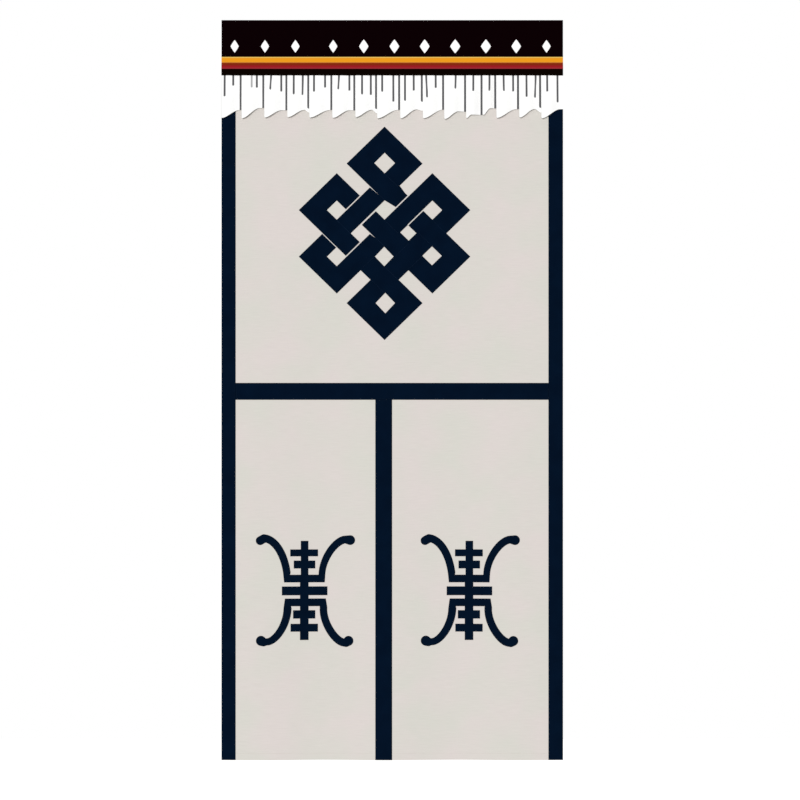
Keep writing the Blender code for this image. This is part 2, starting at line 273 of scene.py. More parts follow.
def makeCanvas():
    # Unbleached cotton canvas: matt and slightly warm, faintly pink in patches, with thicker
    # threads here and there. The real threads are 0.9 mm apart, drawn at 1.8 mm to show.
    material, tree, shader = startMaterial(
        "Unbleached cotton canvas", Roughness=0.95, Specular_IOR_Level=0.05
    )
    place = placeOf(tree)
    base = blotches(tree, place, 120, "#D8D0CC", "#D3D1C9", 0.35)
    slub = patches(tree, place, (34, 34, 1.7))
    tinted = addNode(
        tree,
        "ShaderNodeMapRange",
        {"Value": slub, "From Min": 0.3, "From Max": 0.7, "To Min": 0.975, "To Max": 1.015},
    )
    shade = addNode(tree, "ShaderNodeVectorMath", {0: base, "Scale": tinted}, operation="SCALE")
    tree.links.new(shade.outputs["Vector"], shader.inputs["Base Color"])
    roughen(tree, shader, (wovenHeight(tree, place, 1.8), 0.10), (slub, 0.18))
    return material


def makeNavyTwill():
    # Navy cotton twill: very dark and matt, with fine slanting ribs. They are 1.2 mm apart in the
    # real cloth, and 2.8 mm here, from threads 2 mm apart.
    material, tree, shader = startMaterial("Navy cotton twill", Roughness=0.80, Specular_IOR_Level=0.01)
    place = placeOf(tree)
    base = blotches(tree, place, 45, "#030F20", "#041326")
    tree.links.new(base, shader.inputs["Base Color"])
    ribs = wovenHeight(tree, place, 2.0, "twill")
    roughen(tree, shader, (ribs, 0.12), (patches(tree, place, (14, 14, 14)), 0.5))
    return material


def makeBlackCotton():
    # Near-black dyed cotton with a maroon tint. Its plain weave of 0.8 mm is drawn at 1.6 mm.
    material, tree, shader = startMaterial(
        "Near-black dyed cotton", Roughness=0.85, Specular_IOR_Level=0.005
    )
    place = placeOf(tree)
    stops = [(-145.0, "#0A0401"), (-128.6, "#0A0301"), (-112.0, "#0A0103"), (0.0, "#0A0103")]
    tree.links.new(banded(tree, place, stops), shader.inputs["Base Color"])
    weave = wovenHeight(tree, place, 1.6)
    roughen(tree, shader, (weave, 0.10), (patches(tree, place, (20, 20, 12)), 0.4))
    return material


def banded(tree, place, stops):
    # colours in level stripes: each stop is a height in mm and the colour above it
    split = addNode(tree, "ShaderNodeSeparateXYZ", {"Vector": place})
    low, high = stops[0][0], stops[-1][0]
    level = addNode(
        tree,
        "ShaderNodeMapRange",
        {"Value": split.outputs["Z"], "From Min": low * mm, "From Max": high * mm},
    )
    ramp = addNode(tree, "ShaderNodeValToRGB", {"Fac": level.outputs["Result"]})
    elements = ramp.color_ramp.elements
    while len(elements) < len(stops):
        elements.new(0.5)
    for element, (height, code) in zip(elements, stops):
        element.position = (height - low) / (high - low)
        element.color = colour(code)
    return ramp.outputs["Color"]


def makeRibbon(name, roughness, shine, stops, ribs, depth):
    # a ribbon's woven stripes run along it and its ribs, this far apart and this deep, stand upright
    material, tree, shader = startMaterial(name, Roughness=roughness, Specular_IOR_Level=shine)
    place = placeOf(tree)
    tree.links.new(banded(tree, place, stops), shader.inputs["Base Color"])
    roughen(tree, shader, (wovenHeight(tree, place, ribs, "ribs"), depth))
    return material


# the frill's painted shade lines, along its folds' edges and its short creases: the reach of its
# attribute, and where the grey begins and is full
lineReach = 8.0
foldLine = {"outer": 3.2, "inner": 2.4}


def makeWhiteCotton():
    # Bleached cotton lawn: bright and matt. Painted shade greys it along the frill's folds and creases:
    # the frill's attribute says how near those are, and on the diamonds it is zero.
    material, tree, shader = startMaterial(
        "Bleached cotton lawn", Roughness=0.90, Specular_IOR_Level=0.08
    )
    place = placeOf(tree)
    near = addNode(tree, "ShaderNodeAttribute", attribute_name="paintedShadeNear")
    grey = addNode(
        tree,
        "ShaderNodeMapRange",
        {
            "Value": near.outputs["Fac"],
            "From Min": lineReach - foldLine["outer"],
            "From Max": lineReach - foldLine["inner"],
        },
        interpolation_type="SMOOTHSTEP",
    )
    shade = addNode(tree, "ShaderNodeValToRGB", {"Fac": grey})
    shade.color_ramp.elements[0].color = colour("#FDFDFC")
    # the dark end is painted shade, where the folds and creases fall into shadow
    shade.color_ramp.elements[1].color = colour("#5A5A5C")
    tree.links.new(shade.outputs["Color"], shader.inputs["Base Color"])
    weave = wovenHeight(tree, place, 1.4)
    roughen(tree, shader, (weave, 0.05), (patches(tree, place, (12, 12, 18)), 0.3))
    return material


def makeThread(name, first, second):
    # Sewing thread: two twisted plies, seen as one soft cord with a faint change of shade.
    material, tree, shader = startMaterial(name, Roughness=0.7, Specular_IOR_Level=0.10)
    tree.links.new(blotches(tree, placeOf(tree), 6, first, second), shader.inputs["Base Color"])
    return material


canvas = makeCanvas()
navy = makeNavyTwill()
black = makeBlackCotton()
# Gold satin: soft gloss, lighter along its top edge, and fine ribs 1 mm apart, drawn at 2.8 mm.
goldStripes = [
    (-112.3, "#EE9C54"),
    (-110.5, "#E59510"),
    (-102.4, "#E59510"),
    (-100.4, "#DA8E14"),
    (-99.4, "#E1BB5A"),
    (-97.0, "#E2C166"),
]
gold = makeRibbon("Gold satin ribbon", 0.50, 0.04, goldStripes, 2.8, 0.06)
# Crimson grosgrain: matt, a brown stripe along its upper side, and ribs 1.5 mm apart, drawn at 3.6 mm.
redStripes = [
    (-129.0, "#8E2C34"),
    (-126.0, "#9C242E"),
    (-122.4, "#95161D"),
    (-119.6, "#8D201C"),
    (-117.6, "#78200C"),
    (-115.8, "#8A310C"),
    (-112.3, "#933A0C"),
]
red = makeRibbon("Crimson grosgrain ribbon", 0.65, 0.03, redStripes, 3.6, 0.14)
white = makeWhiteCotton()
navyThread = makeThread("Navy sewing thread", "#04121F", "#0A1D30")
# real stitches whose lighter blue is a painted highlight along the knot's raised crossing edges
highlightThread = makeThread("Slate blue sewing thread with painted highlight", "#16243C", "#1E304E")
blackThread = makeThread("Black sewing thread", "#0A0203", "#140607")
goldThread = makeThread("Gold sewing thread", "#E59A2C", "#EFAA3A")
redThread = makeThread("Red sewing thread", "#8C2220", "#9A2A2A")
whiteThread = makeThread("White sewing thread", "#EDEDEA", "#F8F8F6")
canvasThread = makeThread("Ecru sewing thread", "#D3CBC3", "#DCD6CE")
print("materials made")


# Cutting cloth: flat shapes in (x, z), joined, split by lines, and given their two faces

def counterclockwise(outline):
    pairs = zip(outline, list(outline[1:]) + list(outline[:1]))
    area = sum(a[0] * b[1] - b[0] * a[1] for a, b in pairs)
    return list(outline) if area > 0 else list(outline)[::-1]


def rectangle(left, right, bottom, top):
    return [(left, bottom), (right, bottom), (right, top), (left, top)]


def cutShapes(shapes, holes, lines):
    corners, edges, faces = [], [], []
    for shape in list(shapes) + list(holes):
        faces.append(list(range(len(corners), len(corners) + len(shape))))
        corners += [Vector(point) for point in counterclockwise(shape)]
    for start, end in lines:
        edges.append((len(corners), len(corners) + 1))
        corners += [Vector(start), Vector(end)]
    points, _, triangles, _, _, owners = delaunay_2d_cdt(corners, edges, faces, 0, 1e-3)
    points = np.array([point[:] for point in points])
    kept = []
    for triangle, own in zip(triangles, owners):
        if not own or max(own) >= len(shapes):
            continue
        a, b, c = points[triangle]
        turn = (b[0] - a[0]) * (c[1] - a[1]) - (b[1] - a[1]) * (c[0] - a[0])
        if abs(turn) > 1e-9:
            kept.append(list(triangle) if turn > 0 else list(triangle)[::-1])
    return points, kept


def rimEdges(triangles):
    # the edges with cloth only on their left
    directed = {(t[i], t[(i + 1) % 3]) for t in triangles for i in range(3)}
    return sorted(edge for edge in directed if edge[::-1] not in directed)


def rimLoops(points, rim):
    # the rim as closed loops of points, without doubled or needless ones
    following = {}
    for start, end in rim:
        following.setdefault(start, []).append(end)
    loops = []
    while following:
        start = min(following)
        loop, here = [], start
        while here in following:
            loop.append(points[here])
            ends = following[here]
            onward = ends.pop()
            if not ends:
                del following[here]
            here = onward
        cleaned = []
        for i, point in enumerate(loop):
            before = cleaned[-1] if cleaned else loop[-1]
            after = loop[(i + 1) % len(loop)]
            first, second = point - before, after - point
            reach = np.hypot(*first)
            if reach < 0.3:
                continue
            bend = abs(first[0] * second[1] - first[1] * second[0])
            if bend > 0.01 * reach * max(np.hypot(*second), 0.01):
                cleaned.append(point)
        if len(cleaned) > 2:
            loops.append(np.array(cleaned))
    return loops


def insetLoop(loop, distance):
    ahead = np.roll(loop, -1, axis=0) - loop
    ahead /= np.hypot(ahead[:, 0], ahead[:, 1])[:, None]
    inward = np.stack([-ahead[:, 1], ahead[:, 0]], axis=1)
    before = np.roll(inward, 1, axis=0)
    both = inward + before
    size = np.maximum((both ** 2).sum(axis=1) / 2, 0.25)
    return loop + distance * both / size[:, None]


def divided(path, step):
    # points along the path about this far apart, up to but without its last one
    row = []
    for a, b in zip(path, path[1:]):
        steps = max(1, int(np.hypot(*(b - a)) / step))
        row += [a + (b - a) * i / steps for i in range(steps)]
    return row


def seamRuns(loops, inset):
    # rows of stitches inside the rim, left out where the cloth is too narrow for them
    starts = np.concatenate(loops)
    ends = np.concatenate([np.roll(loop, -1, axis=0) for loop in loops])
    runs = []
    for loop in loops:
        path = insetLoop(loop, inset)
        row = np.array(divided(np.concatenate([path, path[:1]]), 2))
        clear = distanceTo(row, starts, ends) > 0.8 * inset
        breaks = np.flatnonzero(np.diff(clear)) + 1
        for part, sound in zip(np.split(row, breaks), np.split(clear, breaks)):
            if sound[0] and len(part) > 2:
                runs.append(part)
    return runs


def loopLines(loop):
    return [(tuple(a), tuple(b)) for a, b in zip(loop, np.roll(loop, -1, axis=0))]


def distanceTo(points, starts, ends):
    # each point's distance to the nearest of these edges
    nearest = np.full(len(points), np.inf)
    for start, end in zip(starts, ends):
        along = end - start
        share = np.clip(((points - start) @ along) / max(along @ along, 1e-12), 0, 1)
        gap = points - (start + share[:, None] * along)
        nearest = np.minimum(nearest, np.hypot(gap[:, 0], gap[:, 1]))
    return nearest


turnedEdge = {"roll": 1.6, "drop": 0.6}  # how wide the folded edge curves, and how far down


def cutCloth(name, shapes, back, front, cell, holes=(), lines=(), drop=turnedEdge["drop"]):
    # returns the flat piece and the loops of its rim; cell is the spacing of its mesh
    points, triangles = cutShapes(shapes, holes, [])
    rim = rimEdges(triangles)
    starts = points[[edge[0] for edge in rim]]
    ends = points[[edge[1] for edge in rim]]
    loops = rimLoops(points, rim)
    cuts = list(lines)
    for loop in loops:
        for share in (0.3, 1.0):
            cuts += loopLines(insetLoop(loop, share * turnedEdge["roll"]))
    low, high = starts.min(axis=0) - 1, starts.max(axis=0) + 1
    for x in np.arange(math.ceil(low[0] / cell) * cell, high[0], cell):
        cuts.append(((x, low[1]), (x, high[1])))
    for z in np.arange(math.ceil(low[1] / cell) * cell, high[1], cell):
        cuts.append(((low[0], z), (high[0], z)))
    points, triangles = cutShapes(shapes, holes, cuts)
    used = sorted({i for triangle in triangles for i in triangle})
    renumber = {old: new for new, old in enumerate(used)}
    points = points[used]
    triangles = [[renumber[i] for i in triangle] for triangle in triangles]
    x, z = points[:, 0], points[:, 1]
    inner = np.clip(distanceTo(points, starts, ends) / turnedEdge["roll"], 0, 1)
    rounding = (1 - np.sqrt(1 - (1 - inner) ** 2)) * drop
    fore = np.stack([x, front(x, z) + rounding, z], axis=1)
    rear = np.stack([x, back(x, z), z], axis=1)
    count = len(points)
    faces = triangles + [[i + count for i in triangle[::-1]] for triangle in triangles]
    faces += [[a, a + count, b + count, b] for a, b in rimEdges(triangles)]
    return makePiece(name, np.concatenate([fore, rear]), faces), loops


def level(y):
    return lambda x, z: np.full(len(x), float(y))


panelFront = -curtain["panelThick"]
trimBack = panelFront - curtain["gap"]
trimFront = trimBack - curtain["trimThick"]


# Stitches: one tree strings them along any run of seam

stitches = {
    "pitch": 4.0,
    "length": 3.0,
    "thick": 0.7,
    "inset": 2.4,  # from the cloth's edge
    "backLevel": 0.1,  # their middle, behind the panel
    "seed": 7,
}


def buildStitchTree():
    inputs = {"Pitch": "Float", "Stitch Length": "Float", "Thread Thickness": "Float"}
    inputs.update({"Seed": "Int", "Thread": "Material"})
    tree, given = newTree("stitchRun", inputs)
    run = addNode(tree, "GeometryNodeMeshToCurve", {"Mesh": given["Geometry"]})
    spaced = addNode(
        tree, "GeometryNodeResampleCurve", {"Curve": run, "Length": given["Pitch"]}, mode="LENGTH"
    )
    ball = addNode(
        tree, "GeometryNodeMeshUVSphere", {"Segments": 6, "Rings": 4, "Radius": 0.5}
    ).outputs["Mesh"]
    size = addNode(
        tree,
        "ShaderNodeCombineXYZ",
        {"X": given["Stitch Length"], "Y": given["Thread Thickness"], "Z": given["Thread Thickness"]},
    )
    stitch = addNode(tree, "GeometryNodeTransform", {"Geometry": ball, "Scale": size})
    tangent = addNode(tree, "GeometryNodeInputTangent")
    turn = addNode(
        tree, "FunctionNodeAlignRotationToVector", {"Vector": tangent}, axis="X", pivot_axis="Y"
    )
    uneven = addNode(
        tree,
        "FunctionNodeRandomValue",
        {"Min": (0.85, 0.9, 0.85), "Max": (1.08, 1.1, 1.15), "Seed": given["Seed"]},
        data_type="FLOAT_VECTOR",
    ).outputs["Value"]
    strung = addNode(
        tree,
        "GeometryNodeInstanceOnPoints",
        {"Points": spaced, "Instance": stitch, "Rotation": turn, "Scale": uneven},
    )
    closeTree(tree, strung, given["Thread"])
    return tree


stitchTree = buildStitchTree()


def sew(name, runs, surface, thread):
    # runs are rows of (x, z) points; surface gives the cloth's face there
    points, edges = [], []
    for run in runs:
        run = np.asarray(run, float)
        row = divided(run, 4) + [run[-1]]
        first = len(points)
        points += row
        edges += [(first + i, first + i + 1) for i in range(len(row) - 1)]
    points = np.array(points)
    y = surface(points[:, 0], points[:, 1])
    piece = makePiece(name, np.stack([points[:, 0], y, points[:, 1]], axis=1), [], edges)
    values = {
        "Pitch": stitches["pitch"] * mm,
        "Stitch Length": stitches["length"] * mm,
        "Thread Thickness": stitches["thick"] * mm,
        "Seed": stitches["seed"],
        "Thread": thread,
    }
    settle(piece, stitchTree, values)
    return hang(piece, thread, 180)


# The canvas panel: a sheet woven to size by its own tree, then hung

panel = {
    "cell": 10.0,
    "sideHem": 14.0,
    "bottomHem": 20.0,
    "hemGap": 0.05,
    "hemThick": 1.0,
    "hemSeam": 2.5,  # its stitches, in from its free edge
}


def buildSheetTree():
    inputs = {"Width": "Float", "Length": "Float", "Thickness": "Float", "Cell": "Float"}
    inputs["Material"] = "Material"
    tree, given = newTree("wovenSheet", inputs)

    def count(side):
        cells = addNode(tree, "ShaderNodeMath", {0: given[side], 1: given["Cell"]}, operation="DIVIDE")
        return addNode(tree, "ShaderNodeMath", {0: cells, 1: 1.0}, operation="ADD")

    grid = addNode(
        tree,
        "GeometryNodeMeshGrid",
        {
            "Size X": given["Width"],
            "Size Y": given["Length"],
            "Vertices X": count("Width"),
            "Vertices Y": count("Length"),
        },
    ).outputs["Mesh"]
    half = addNode(tree, "ShaderNodeMath", {0: given["Length"], 1: -0.5}, operation="MULTIPLY")
    down = addNode(tree, "ShaderNodeCombineXYZ", {"Z": half})
    upright = addNode(
        tree,
        "GeometryNodeTransform",
        {"Geometry": grid, "Translation": down, "Rotation": (math.pi / 2, 0, 0)},
    )
    thick = addNode(tree, "ShaderNodeMath", {0: given["Thickness"], 1: -1.0}, operation="MULTIPLY")
    forward = addNode(tree, "ShaderNodeCombineXYZ", {"Y": thick})
    raised = addNode(
        tree,
        "GeometryNodeExtrudeMesh",
        {"Mesh": upright, "Offset": forward, "Offset Scale": 1.0, "Individual": False},
    ).outputs["Mesh"]
    behind = addNode(tree, "GeometryNodeFlipFaces", {"Mesh": upright})
    both = tree.nodes.new("GeometryNodeJoinGeometry")
    tree.links.new(raised, both.inputs[0])
    tree.links.new(behind, both.inputs[0])
    whole = addNode(tree, "GeometryNodeMergeByDistance", {"Geometry": both.outputs[0], "Distance": 1e-5})
    closeTree(tree, whole, given["Material"])
    return tree


sheetTree = buildSheetTree()
canvasPanel = makePiece("canvas_panel", [(0, 0, 0)], [])
settle(
    canvasPanel,
    sheetTree,
    {
        "Width": curtain["width"] * mm,
        "Length": curtain["length"] * mm,
        "Thickness": curtain["panelThick"] * mm,
        "Cell": panel["cell"] * mm,
        "Material": canvas,
    },
)
hang(canvasPanel, canvas)

halfWidth = curtain["width"] / 2
hemTop = -curtain["headingHeight"] - 2
hemShapes = [
    rectangle(-halfWidth, panel["sideHem"] - halfWidth, -curtain["length"], hemTop),
    rectangle(halfWidth - panel["sideHem"], halfWidth, -curtain["length"], hemTop),
    rectangle(-halfWidth, halfWidth, -curtain["length"], panel["bottomHem"] - curtain["length"]),
]


def mirrored(piece):
    # turns a piece cut for the front round to lie on the back
    mesh = piece.data
    for vert in mesh.vertices:
        vert.co.y = -vert.co.y
    mesh.flip_normals()
    return piece


hemLevel = panel["hemGap"] + panel["hemThick"]
canvasHem, _ = cutCloth("canvas_hem", hemShapes, level(-panel["hemGap"]), level(-hemLevel), cell=10.0)
hang(mirrored(canvasHem), canvas)
seamX = halfWidth - panel["sideHem"] + panel["hemSeam"]
seamZ = panel["bottomHem"] - panel["hemSeam"] - curtain["length"]
hemRun = [(-seamX, hemTop - 2), (-seamX, seamZ), (seamX, seamZ), (seamX, hemTop - 2)]
hemStitches = sew("hem_stitches", [hemRun], level(hemLevel), canvasThread)
frontHemStitches = sew("hem_stitches_front", [hemRun[1:3]], level(panelFront), canvasThread)
print("canvas panel hung")


# Navy strips

strips = {
    "leftWidth": 37.3,
    "rightWidth": 38.3,
    "sideTop": -133.0,
    "crossTop": -956.2,
    "crossHeight": 44.4,
    "centreX": -22.5,
    "centreWidth": 44.2,
    "join": 0.04,  # the hair's breadth between strips that butt
}
innerLeft = strips["leftWidth"] - halfWidth
innerRight = halfWidth - strips["rightWidth"]
crossBottom = strips["crossTop"] - strips["crossHeight"]
stripShapes = {
    "strip_left": rectangle(-halfWidth, innerLeft, -curtain["length"], strips["sideTop"]),
    "strip_right": rectangle(innerRight, halfWidth, -curtain["length"], strips["sideTop"]),
    "strip_cross": rectangle(
        innerLeft + strips["join"], innerRight - strips["join"], crossBottom, strips["crossTop"]
    ),
    "strip_centre": rectangle(
        strips["centreX"] - strips["centreWidth"] / 2,
        strips["centreX"] + strips["centreWidth"] / 2,
        -curtain["length"],
        crossBottom - strips["join"],
    ),
}
stripPieces, stripLoops = {}, {}
for name, shape in stripShapes.items():
    piece, loops = cutCloth("navy_" + name, [shape], level(trimBack), level(trimFront), cell=10.0)
    stripPieces[name] = hang(piece, navy)
    stripLoops[name] = loops
stripRuns = [run for loops in stripLoops.values() for run in seamRuns(loops, stitches["inset"])]
stripStitches = sew("strip_stitches", stripRuns, level(trimFront), navyThread)
stripStitchesBack = sew("strip_stitches_back", stripRuns, level(stitches["backLevel"]), navyThread)
print("navy strips sewn")


# Endless knot: bands on a slanting lattice, p and q counting its steps along the two slants

knot = {
    "x": -20.3,
    "z": -561.9,
    "stepX": 63.0,
    "stepZ": 61.3,
    "halfBand": 0.588,
    "reach": 4,
    "lift": 0.9,  # how far a band stands up where it crosses another
    "ramp": 0.45,  # lattice steps over which it comes down again
    "roll": 1.3,  # how wide its raised edge curves
    "lip": 0.35,  # share of the lift that is left at the edge itself
    "slitPast": 0.03,  # lattice steps by which a slit runs past its crossing
    "crossInset": 0.9,  # the stitches along a crossing, in from the band's edge
    "crossEnd": 3.0,  # and how far they stop short of its ends
}
crossings = [  # place in pairs of steps, the band that goes over, and the slits along it in mm
    ((0, -2), "q", (0.0, 0.0)),
    ((-2, 0), "q", (0.0, 2.0)),
    ((0, 0), "q", (0.0, 0.0)),
    ((2, 0), "q", (0.0, 0.0)),
    ((0, 2), "q", (0.0, 0.0)),
    ((-1, -1), "p", (3.0, 4.2)),
    ((1, -1), "p", (3.2, 3.0)),
    ((-1, 1), "p", (3.0, 0.0)),
    ((1, 1), "p", (0.0, 0.0)),
]
# two slits that taper to nothing: crossing, width where they open, share of the band they run along
wedges = [((0, -2), 2.4, 0.6), ((0, 0), 2.6, 0.35)]
# the upper band ends askew: what is cut off it, and what is added beside it
slantCut = [(-20.0, -474.9), (9.1, -492.8), (3.5, -499.5), (-10.0, -494.0)]
slantFill = [(16.1, -440.0), (38.6, -462.5), (19.9, -436.7)]
smallHole = [  # one opening is tighter: bands' rims moved in, in lattice steps
    (1.325, 1.43, -1.43, -0.57),
    (0.57, 1.43, -0.694, -0.57),
    (0.66, 1.43, -1.43, -1.335),
    (0.57, 0.615, -1.33, -0.57),
]
openings = [  # four were cut by hand, a little off the lattice: place in steps, middle, half sizes
    ((-3, -3), (-20.0, -376.7), (27.4, 27.2)),
    ((1, 1), (-21.1, -623.1), (24.6, 25.8)),
    ((3, 3), (-18.3, -745.7), (25.6, 27.2)),
    ((3, -1), (104.8, -621.2), (25.8, 25.0)),
]
latticeStep = knot["stepX"] * knot["stepZ"] / math.hypot(knot["stepX"], knot["stepZ"])


def fromLattice(p, q):
    return (knot["x"] + knot["stepX"] * (p - q) / 2, knot["z"] - knot["stepZ"] * (p + q) / 2)


def toLattice(x, z):
    across = (x - knot["x"]) / knot["stepX"]
    down = (knot["z"] - z) / knot["stepZ"]
    return down + across, down - across


def latticeBox(pLow, pHigh, qLow, qHigh):
    return [fromLattice(p, q) for p, q in rectangle(pLow, pHigh, qLow, qHigh)]


def crossingBox(place, upper, overLow, overHigh, alongLow, alongHigh):
    # over counts across the upper band, along counts along it, both from the crossing
    p, q = place[0] + place[1], place[1] - place[0]
    if upper == "p":
        return latticeBox(p + overLow, p + overHigh, q + alongLow, q + alongHigh)
    return latticeBox(p + alongLow, p + alongHigh, q + overLow, q + overHigh)


def knotBands():
    reach, half = knot["reach"], knot["halfBand"]
    spans = []
    for place in (-2, 0, 2):
        spans.append((place, place, -reach, reach))
        spans.append((-reach, reach, place, place))
    for rim, starts in ((-reach, (-4, 0)), (reach, (-2, 2))):
        for start in starts:
            spans.append((rim, rim, start, start + 2))
            spans.append((start, start + 2, rim, rim))
    bands = [latticeBox(a - half, b + half, c - half, d + half) for a, b, c, d in spans]
    for (p, q), _, _ in openings:
        bands.append(latticeBox(p - half, p + half, q - half, q + half))
    return bands + [latticeBox(*box) for box in smallHole] + [slantFill]


def knotSlits():
    half, past = knot["halfBand"], knot["slitPast"]
    slits = [slantCut]
    for _, (x, z), (wide, tall) in openings:
        slits.append([(x - wide, z), (x, z - tall), (x + wide, z), (x, z + tall)])
    for place, upper, (before, after) in crossings:
        sides = ((-half - before / latticeStep, -half), (half, half + after / latticeStep))
        for width, (low, high) in zip((before, after), sides):
            if width:
                slits.append(crossingBox(place, upper, low, high, -half - past, half + past))
    for (i, j), wide, share in wedges:
        p, q = i + j - half, j - i + half
        mouth = fromLattice(p - past, q), fromLattice(p - past, q + wide / latticeStep)
        slits.append([*mouth, fromLattice(p + 2 * half * share, q)])
    return slits


def knotLift(x, z):
    half, roll = knot["halfBand"], knot["roll"] / latticeStep
    p, q = toLattice(x, z)
    lift = np.zeros(len(x))
    for (i, j), upper, _ in crossings:
        across, along = np.abs(p - i - j), np.abs(q - j + i)
        if upper == "q":
            across, along = along, across
        run = 1 - smooth((along - half) / knot["ramp"])
        rounded = np.sqrt(1 - np.clip((across - half + roll) / roll, 0, 1) ** 2)
        edge = np.where(across <= half - roll, 1.0, knot["lip"] + (1 - knot["lip"]) * rounded)
        edge = np.where(across > half + 0.003, 0.0, edge)  # a hair past the edge, the band has ended
        lift = np.maximum(lift, knot["lift"] * run * edge)
    return lift


def knotFront(x, z):
    return trimFront - knotLift(x, z)


# the cloth's mesh follows each raised edge, and stitches run along it where no slit does; their lighter
# blue thread is a painted highlight on that raised edge
knotLines, knotEdges = [], []
half = knot["halfBand"]
edgeRows = [half - knot["roll"] / latticeStep, half - 0.4 / latticeStep, half, half + 0.2 / latticeStep]
for place, upper, slits in crossings:
    for side, slit in zip((-1, 1), slits):
        for over in edgeRows:
            box = crossingBox(place, upper, side * over, side * over, -half, half)
            knotLines.append((box[0], box[2]))
        if not slit:
            inset = half - knot["crossInset"] / latticeStep
            run = half - knot["crossEnd"] / latticeStep
            box = crossingBox(place, upper, side * inset, side * inset, -run, run)
            knotEdges.append([box[0], box[2]])
knotPiece, knotLoops = cutCloth(
    "endless_knot", knotBands(), level(trimBack), knotFront, cell=5.0, holes=knotSlits(), lines=knotLines
)
hang(knotPiece, navy)
knotRuns = seamRuns(knotLoops, stitches["inset"])
knotStitches = sew("knot_stitches", knotRuns, knotFront, navyThread)
knotHighlightStitches = sew("knot_stitches_over", knotEdges, knotFront, highlightThread)
knotStitchesBack = sew("knot_stitches_back", knotRuns, level(stitches["backLevel"]), navyThread)
print("knot sewn")


# Long-life ornaments: a stem, cross bars, and four horns that end in balls

longlife = {
    "leftX": -230.6,
    "rightX": 203.7,
    "z": -1504.0,
    "stems": [(-10.5, 9.5, 20.0, 131.5), (-12.6, 9.9, -130.0, 30.0)],  # left, right, low, high
    "bars": [  # middle x and z, width, height
        (-1.7, 99.8, 73.2, 18.3),
        (-0.7, 69.1, 56.6, 20.8),
        (-0.9, 32.1, 106.7, 20.1),
        (-0.3, -0.3, 119.9, 23.3),
        (1.6, -30.7, 107.7, 20.3),
        (-1.6, -62.4, 58.4, 21.9),
        (-1.4, -97.5, 72.0, 20.7),
    ],
    "hornSteps": 20,
    "hornStop": 18,  # the balls take over here
    "rootTop": 42.0,
    "ballSteps": 28,
}
# each horn stands on one side, across and up, bends through four points and ends in two overlapping
# balls; its root's corners lie on the bar, and the widths are at the bar and at the far end
horns = [
    {
        "side": (-1, 1),
        "bends": [(45.6, 31.0), (48.2, 82.4), (72.0, 138.5), (112.0, 139.4)],
        "widths": (19.6, 20.8),
        "root": [(54.4, 22.1), (42.0, 22.1)],
        "balls": [(107.5, 137.8, 11.4), (117.3, 132.2, 11.6)],
    },
    {
        "side": (1, 1),
        "bends": [(45.2, 34.7), (42.1, 81.2), (82.3, 137.5), (110.7, 135.0)],
        "widths": (17.6, 20.9),
        "root": [(52.6, 22.1), (42.0, 22.1)],
        "balls": [(104.8, 135.3, 9.7), (119.8, 133.5, 12.8)],
    },
    {
        "side": (-1, -1),
        "bends": [(46.8, 26.0), (35.5, 88.3), (89.8, 155.5), (113.2, 128.5)],
        "widths": (21.4, 18.2),
        "root": [(52.3, 21.0), (42.0, 21.0)],
        "balls": [(108.5, 134.9, 11.4), (115.3, 131.6, 13.2)],
    },
    {
        "side": (1, -1),
        "bends": [(53.3, 26.0), (32.2, 76.9), (96.0, 160.2), (115.2, 130.5)],
        "widths": (19.6, 21.7),
        "root": [(55.4, 21.0), (45.0, 21.0)],
        "balls": [(108.7, 136.9, 11.4), (115.2, 132.0, 13.0)],
    },
]


def hornShapes(horn):
    bends = [Vector((x, z, 0)) for x, z in horn["bends"]]
    path = [point.to_2d() for point in interpolate_bezier(*bends, longlife["hornSteps"])]
    left, right, balls = [], [], []
    first, last = horn["widths"]
    for i, point in enumerate(path[: longlife["hornStop"]]):
        if point.y < longlife["rootTop"]:
            continue
        along = (path[i + 1] - path[max(i - 1, 0)]).normalized()
        half = (first + (last - first) * i / (len(path) - 1)) / 2
        left.append((point.x - along.y * half, point.y + along.x * half))
        right.append((point.x + along.y * half, point.y - along.x * half))
        balls = [(point.x, point.y, half)]
    shapes = [left + right[::-1] + horn["root"]]
    # the skin round each ball and the next carries the horn into its tip
    balls += horn["balls"]
    turns = [2 * math.pi * i / longlife["ballSteps"] for i in range(longlife["ballSteps"])]
    for pair in zip(balls, balls[1:]):
        rim = [
            Vector((x + radius * math.cos(turn), z + radius * math.sin(turn)))
            for x, z, radius in pair
            for turn in turns
        ]
        shapes.append([tuple(rim[i]) for i in convex_hull_2d(rim)])
    return shapes


def longlifeShapes(x):
    shapes = [rectangle(*stem) for stem in longlife["stems"]]
    for middleX, middleZ, wide, tall in longlife["bars"]:
        sides = (middleX - wide / 2, middleX + wide / 2, middleZ - tall / 2, middleZ + tall / 2)
        shapes.append(rectangle(*sides))
    for horn in horns:
        across, up = horn["side"]
        for shape in hornShapes(horn):
            shapes.append([(across * a, up * b) for a, b in shape])
    return [[(x + a, longlife["z"] + b) for a, b in shape] for shape in shapes]


longlifePieces, longlifeRuns = {}, []
for name, x in (("longlife_left", longlife["leftX"]), ("longlife_right", longlife["rightX"])):
    piece, loops = cutCloth(
        name + "_cloth", longlifeShapes(x), level(trimBack), level(trimFront), cell=5.0
    )
    longlifePieces[name] = hang(piece, navy)
    longlifeRuns += seamRuns(loops, stitches["inset"])
longlifeStitches = sew("longlife_stitches", longlifeRuns, level(trimFront), navyThread)
longlifeStitchesBack = sew(
    "longlife_stitches_back", longlifeRuns, level(stitches["backLevel"]), navyThread
)
print("ornaments sewn")


# Heading, which lifts over the frill's top, and its ribbons and diamonds

